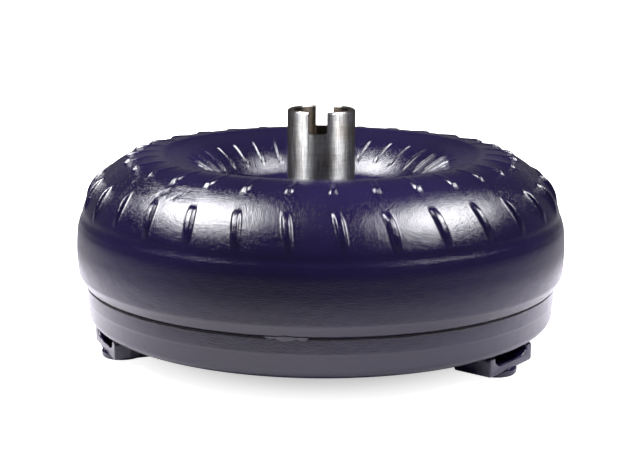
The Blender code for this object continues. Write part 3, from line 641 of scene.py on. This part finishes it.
def cover_mesh():
    wall_inside = COVER_RADIUS - COVER_WALL
    inner_corner = COVER_CORNER - COVER_WALL
    floor = COVER_LOW + COVER_FLOOR
    low_radius = COVER_RADIUS - COVER_TAPER
    outside = arc((low_radius - COVER_CORNER, COVER_LOW + COVER_CORNER), COVER_CORNER, -90, -5, 12)
    crease, width, _ = COVER_RINGS[0]
    heights = np.linspace(crease, crease + 3 * width, 7)
    outside += [(COVER_RADIUS + raised_by(COVER_RINGS, z), z) for z in heights]
    rim = arc((COVER_RADIUS - 1, COVER_TOP - 1), 1, 0, 90, 3)
    rim += arc((wall_inside + 1, COVER_TOP - 1), 1, 90, 180, 3)
    inside = arc((wall_inside - inner_corner, floor + inner_corner), inner_corner, 0, -90, 5)
    flat = [(r, COVER_LOW) for r in (0, 20, 60, 100, 130, 150)]
    profile = flat + outside + [(COVER_RADIUS, z) for z in (40, 46)] + rim + inside
    profile += [(r, floor) for r in (150, 110, 60, 20, 0)]
    return turned_solid("front_cover_pan", profile, 288)


def bead_mesh(name, section, columns, ripples, depth):
    """A weld bead: its section swells and dips about its first point, once for each puddle."""
    angles = angles_round(columns)
    section = np.array(section)
    places = turned_places(section, angles)
    puddle = np.abs(np.sin(angles * ripples / 2))
    swell = 1 + depth * (puddle - 0.6) + depth * 0.5 * np.sin(angles * 7 + 1) * np.sin(angles * 23)
    root = section[0]
    offset = section - root
    radius = root[0] + offset[:, :1] * swell
    places[:, :, 0] = radius * np.cos(angles)
    places[:, :, 1] = radius * np.sin(angles)
    places[:, :, 2] = root[1] + offset[:, 1:] * swell
    return grid_mesh(name, places)


def closure_mesh(columns=1440):
    """The closure weld, with the heights above which it ran out of its groove and took paint."""
    inner, lip = COVER_RADIUS + GAP, SKIRT_LIP[1] - GAP
    angles = angles_round(columns)
    share = np.zeros(columns)
    for middle, most, width in CLOSURE_RUNS:
        turn = (angles - math.radians(middle) + math.pi) % (2 * math.pi) - math.pi
        hump = np.cos(np.clip(turn / math.radians(width), -1, 1) * math.pi / 2) ** 1.2
        share = np.maximum(share, most * hump)
    share *= 1 + 0.14 * np.sin(angles * 83) + 0.1 * np.sin(angles * 47 + 1)
    low = CLOSURE_FOOT - 0.9 * (0.5 + 0.5 * np.sin(angles - 0.9))
    low += 0.12 * np.sin(angles * 41) * np.sin(angles * 17 + 1)
    run = lip - 2.0 * share
    out = inner + 0.5 + 1.0 * share
    radii = [inner, out + 0.2 * share, out, inner + 0.5 + 0.3 * share, inner + 0.4, inner]
    heights = [
        lip, lip + 1.1 * share, (lip + run) / 2, run - 0.05,
        np.minimum(run - 0.1, low + 0.4), np.minimum(run - 0.15, low),
    ]
    radii, heights = (np.stack([row + 0 * share for row in rows]) for rows in (radii, heights))
    places = np.stack([radii * np.cos(angles), radii * np.sin(angles), heights], axis=-1)
    return grid_mesh("closure_weld", places), run


def hub_mesh():
    profile = [
        (HUB_BORE, HUB_FLANGE_LOW),
        (HUB_FLANGE_RADIUS, HUB_FLANGE_LOW),
        (HUB_FLANGE_RADIUS, HUB_FLANGE_TOP),
        (HUB_RADIUS, HUB_FLANGE_TOP),
        (HUB_RADIUS, HUB_TOP - HUB_CHAMFER),
        (HUB_RADIUS - HUB_CHAMFER, HUB_TOP),
        (HUB_BORE + HUB_CHAMFER, HUB_TOP),
        (HUB_BORE, HUB_TOP - HUB_CHAMFER),
    ]
    tube = turned("pump_hub_tube", profile, 160)
    width, depth = HUB_SLOT
    half = width / 2
    outline = filleted([(-half, -depth), (half, -depth), (half, depth), (-half, depth)], 1.2, 4)
    slot = prism_mesh("slot", outline, -40, 40)
    slot.transform(Matrix.Translation((0, 0, HUB_TOP * MM)) @ Matrix.Rotation(HUB_SLOT_ANGLE, 4, "Z")
                   @ SIDEWAYS)
    return cut(tube, slot, 0.35, 2)


def pilot_mesh():
    chamfer, recess = 2.5, 9.0
    profile = [(0, PILOT_TOP)]
    profile += filleted(
        [
            (PILOT_RADIUS, PILOT_TOP),
            (PILOT_RADIUS, PILOT_LOW + chamfer),
            (PILOT_RADIUS - chamfer, PILOT_LOW),
            (recess, PILOT_LOW),
            (recess, PILOT_LOW + 6),
        ],
        0.5, 3, closed=False,
    )
    profile.append((0, PILOT_LOW + 9))
    return turned_solid("crank_pilot_stub", profile, 96)


def lug_mesh():
    """The bridge bracket: rounded where it was bent, with its long edges eased."""
    half, inside = LUG_WIDTH / 2, LUG_WIDTH / 2 - LUG_LEG
    low, high = LUG_PLATE
    right = [(half, low), (half, LUG_TOP), (inside, LUG_TOP), (inside, high + 3.2), (inside - 4.4, high)]
    corners = right + [(-x, z) for x, z in right[::-1]]
    outline = filleted(corners, 2.6, 5)
    lug = prism_mesh("lug_bracket", outline, LUG_INNER, LUG_OUTER)
    lug.transform(SIDEWAYS)
    hole = prism_mesh("lug_hole", arc((BOLT_CIRCLE, 0), BOSS_COLLAR + GAP, 0, 360, 64)[:-1], -5, 30)
    return cut(lug, hole, 1.3, 3)


def boss_mesh():
    """A round foot with a collar above it, and a threaded hole through both."""
    low, high = LUG_PLATE
    bevel = 1.0
    shape = filleted(
        [
            (BOLT_RADIUS + 1.2, 0),
            (BOSS_RADIUS - bevel, 0),
            (BOSS_RADIUS, bevel),
            (BOSS_RADIUS, low - GAP),
            (BOSS_COLLAR, low - GAP),
            (BOSS_COLLAR, high),
            (BOLT_RADIUS + 1.2, high),
        ],
        0.4, 3, closed=False,
    )
    heights = np.arange(high - 0.9, 0.9, -THREAD_PITCH / 6)
    columns = 72
    angles = angles_round(columns)
    outside = turned_places(shape, angles)
    phase = heights[:, None] / THREAD_PITCH - angles[None, :] / (2 * math.pi)
    groove = np.abs((phase % 1) - 0.5) * 2
    radius = BOLT_RADIUS + THREAD_DEPTH * groove
    level = np.broadcast_to(heights[:, None], radius.shape)
    thread = np.stack([radius * np.cos(angles), radius * np.sin(angles), level], axis=-1)
    return grid_mesh("lug_boss_nut", np.concatenate([outside, thread], axis=0))


# ---- Studio ------------------------------------------------------------------------------------------
CAMERA_AZIMUTH = math.radians(-82.3)
CAMERA_DISTANCE = 1.0119
CAMERA_HEIGHT = 0.2972
CAMERA_PITCH = 0.217
CAMERA_YAW = math.radians(0.035)
CAMERA_ROLL = math.radians(0.285)
CAMERA_LENS = 81.84
LOOK_AT = Vector((0, 0, 0.1))
ROOM = 0.04
BACK_STRIP = 0.18
BACK_STRIP_SPREAD = (0.5, 0.95)
BACK_STRIP_HEIGHT = (0.17, 0.09)


def camera():
    data = bpy.data.cameras.new("camera")
    data.lens = CAMERA_LENS
    data.sensor_width = 36
    made = placed("camera", data)
    place = Vector((math.cos(CAMERA_AZIMUTH), math.sin(CAMERA_AZIMUTH), 0)) * CAMERA_DISTANCE
    place.z = CAMERA_HEIGHT
    heading = CAMERA_AZIMUTH + math.pi / 2 + CAMERA_YAW
    made.matrix_world = (
        Matrix.Translation(place)
        @ Matrix.Rotation(heading, 4, "Z")
        @ Matrix.Rotation(math.pi / 2 - CAMERA_PITCH, 4, "X")
        @ Matrix.Rotation(CAMERA_ROLL, 4, "Z")
    )
    bpy.context.scene.camera = made


def softbox(name, beside, elevation, distance, width, height, power):
    """A soft rectangular light. beside is its angle round the object from the camera, to the right."""
    data = bpy.data.lights.new(name, "AREA")
    data.shape = "RECTANGLE"
    data.size, data.size_y = width, height
    data.energy = power
    made = placed(name, data)
    turn, up = CAMERA_AZIMUTH + math.radians(beside), math.radians(elevation)
    away = Vector((math.cos(turn) * math.cos(up), math.sin(turn) * math.cos(up), math.sin(up)))
    made.location = LOOK_AT + away * distance
    made.rotation_mode = "QUATERNION"
    made.rotation_quaternion = away.to_track_quat("Z", "Y")
    return made


def floor():
    """A pale seamless floor, a little brighter to the lens than to the object's reflections. To the lens it
    glows, dimming under the object as a painted shadow; in reflections it shows a painted pool of light round
    the object, darker on the camera's side as a painted shadow.
    """
    shape = bmesh.new()
    bmesh.ops.create_circle(shape, cap_ends=True, segments=96, radius=14)
    mesh = bpy.data.meshes.new("studio_floor")
    shape.to_mesh(mesh)
    shape.free()
    made = placed("studio_floor", mesh)
    made.location.z = -0.0002
    f = Finish("studio_floor", Roughness=0.9, Specular_IOR_Level=0.1)
    seen = f.add("ShaderNodeLightPath").outputs["Is Camera Ray"]
    grain = f.remap(f.noise(3.0, 2.0), 0.3, 0.7, 0.0, 0.04)
    distance, _, turn = f.cylinder()
    camera_side = f.math("COSINE", f.math("SUBTRACT", turn, CAMERA_AZIMUTH))
    # painted light: a pool of light on the floor round the object, seen in its reflections, fading with
    # distance
    painted_light_pool = f.remap(distance, 0.22, 0.38, 0.62, 0.12)
    painted_light_pool = f.math("MULTIPLY", painted_light_pool, f.remap(distance, 0.4, 1.6, 1.0, 0.2))
    # painted shadow: the pool is darker on the camera's side
    painted_light_pool = f.math("MULTIPLY", painted_light_pool, f.remap(camera_side, 0.1, 1.0, 1.0, 0.72))
    cool = f.math("MULTIPLY", painted_light_pool, 1.06)
    painted_light_pool = f.rgb(painted_light_pool, f.math("MULTIPLY", painted_light_pool, 0.96), cool)
    base = f.blend(grain, painted_light_pool, (0.2, 0.2, 0.2, 1))
    base = f.blend(seen, base, (0.6, 0.6, 0.6, 1))
    # painted shadow: the floor's glow to the lens dims under the object
    glow_with_painted_shadow = f.remap(distance, 0.095, 0.158, 0.5, 1.0)
    f.finish(Base_Color=base, Emission_Color=(1, 1, 1, 1), Emission_Strength=f.math("MULTIPLY", seen, glow_with_painted_shadow))
    mesh.materials.append(f.material)
    made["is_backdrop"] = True


def world():
    """A dark room with a pale strip low down behind the object, which the lens itself sees as white."""
    made = bpy.data.worlds.new("studio")
    bpy.context.scene.world = made
    made.use_nodes = True
    tree = made.node_tree

    def node(kind, *values, **settings):
        fresh = tree.nodes.new(kind)
        for key, value in settings.items():
            setattr(fresh, key, value)
        for socket, value in zip(fresh.inputs, values):
            if isinstance(value, bpy.types.NodeSocket):
                tree.links.new(value, socket)
            else:
                socket.default_value = value
        return fresh

    way = node("ShaderNodeTexCoord").outputs["Generated"]
    behind = (-math.cos(CAMERA_AZIMUTH), -math.sin(CAMERA_AZIMUTH), 0)
    toward = node("ShaderNodeVectorMath", way, behind, operation="DOT_PRODUCT").outputs["Value"]
    up = node("ShaderNodeSeparateXYZ", way).outputs["Z"]
    back = node("ShaderNodeMapRange", toward, *BACK_STRIP_SPREAD, 0.0, 1.0, interpolation_type="SMOOTHSTEP")
    low = node("ShaderNodeMapRange", up, *BACK_STRIP_HEIGHT, 0.0, 1.0, interpolation_type="SMOOTHSTEP")
    strip = node("ShaderNodeMath", back.outputs[0], low.outputs[0], operation="MULTIPLY").outputs[0]
    level = node("ShaderNodeMath", strip, BACK_STRIP, ROOM, operation="MULTIPLY_ADD").outputs[0]
    lit = tree.nodes["Background"]
    lit.inputs["Color"].default_value = (0.9, 0.88, 0.92, 1)
    tree.links.new(level, lit.inputs["Strength"])
    white = node("ShaderNodeBackground", (1, 1, 1, 1), 1.0)
    seen = node("ShaderNodeLightPath").outputs["Is Camera Ray"]
    mix = node("ShaderNodeMixShader", seen, lit.outputs[0], white.outputs[0])
    tree.links.new(mix.outputs[0], tree.nodes["World Output"].inputs["Surface"])


camera()
world()
floor()
softbox("left_box", -87, 52, 1.9, 1.12, 0.88, 92)
softbox("right_box", 80, 49, 2.1, 1.3, 0.8, 86)
softbox("ceiling", 0, 89, 2.5, 4.0, 4.0, 115).visible_glossy = False
bpy.context.scene.view_settings.view_transform = "Standard"

# ---- Assembly ----------------------------------------------------------------------------------------
paint = indigo_paint()
seam = seam_shade_and_bare_weld()
hub_steel = turned_steel(
    "ground_hub_steel", colour(198, 199, 201), colour(140, 120, 98), 0.34, 0.96,
    metallic=0.95, bore=HUB_BORE * MM,
)
lathe_steel = turned_steel("lathe_steel", colour(186, 184, 180), colour(112, 98, 84), 0.26, stain_share=0.3)
race_steel = turned_steel(
    "bearing_steel", colour(200, 200, 202), colour(140, 130, 118), 0.14, 0.5, 3600.0, 0.2
)
sheet = sheet_steel()
spring = spring_steel()
aluminium = cast_aluminium()
washer_bronze = bronze()

piece("impeller_shell_skin", shell_mesh(), paint, "housing", ("impeller_shell",), 60)
piece("front_cover_pan", cover_mesh(), paint, "housing", ("front_cover",))

bead, run = closure_mesh()
weld = piece("closure_weld", bead, seam, "housing", ("closure_weld_bead",))
bead.materials.append(paint)
for face in bead.polygons:
    turn = math.atan2(face.center.y, face.center.x) % (2 * math.pi) / (2 * math.pi)
    if face.center.z / MM > run[int(turn * len(run))] - 0.04:
        face.material_index = 1
inner, low = HUB_RADIUS + GAP, BOWL_FLOOR + GAP
fillet_weld = [(inner, low), (inner, low + 4.6), (inner + 1.3, low + 4.6), (inner + 3.3, low + 3.4),
               (inner + 4.8, low + 1.6), (inner + 5.2, low)]
piece(
    "hub_weld", bead_mesh("hub_weld", fillet_weld, 360, 52, 0.12), paint,
    "housing", ("hub_weld_bead",),
)
inner = PILOT_RADIUS + GAP
pilot_weld = [(inner, PILOT_TOP), (inner, PILOT_TOP - 3.6), (inner + 1.2, PILOT_TOP - 3.6),
              (inner + 2.6, PILOT_TOP - 2.6), (inner + 3.6, PILOT_TOP - 1.1), (inner + 3.8, PILOT_TOP)]
piece(
    "pilot_weld", bead_mesh("pilot_weld", pilot_weld, 300, 44, 0.1), paint,
    "housing", ("pilot_weld_bead",),
)
piece("pump_hub_tube", hub_mesh(), hub_steel, "housing", ("impeller_hub",), 30)
piece("crank_pilot_stub", pilot_mesh(), lathe_steel, "housing", ("crank_pilot",))

bracket, nut = lug_mesh(), boss_mesh()
for number, turn in enumerate(LUG_ANGLES, 1):
    turned_to = Matrix.Rotation(turn, 4, "Z")
    lug = bracket.copy()
    lug.transform(turned_to)
    piece(f"lug_bracket_{number}", lug, paint, "housing", (f"mounting_lug_{number}",))
    boss = nut.copy()
    boss.transform(turned_to @ Matrix.Translation((BOLT_CIRCLE * MM, 0, 0)))
    piece(f"lug_nut_{number}", boss, paint, "housing", (f"lug_boss_{number}",))

FINISHES = (
    (("impeller_vanes", "turbine_shell", "turbine_vanes"), sheet),
    (("front_thrust_washer",), washer_bronze),
    (("turbine_hub", "turbine_rivet_", "clutch_cam", "clutch_cover_plate", "clutch_inner_race"), lathe_steel),
    (("stator_wheel",), aluminium),
    (("roller_spring_", "clutch_snap_ring"), spring),
    (("_race", "_cage", "clutch_roller_"), race_steel),
)
for name, node in frame["nodes"].items():
    for parts, finish in FINISHES:
        if any(part in name for part in parts):
            for place in node.material_slots:
                place.material = finish
            break

low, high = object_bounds()
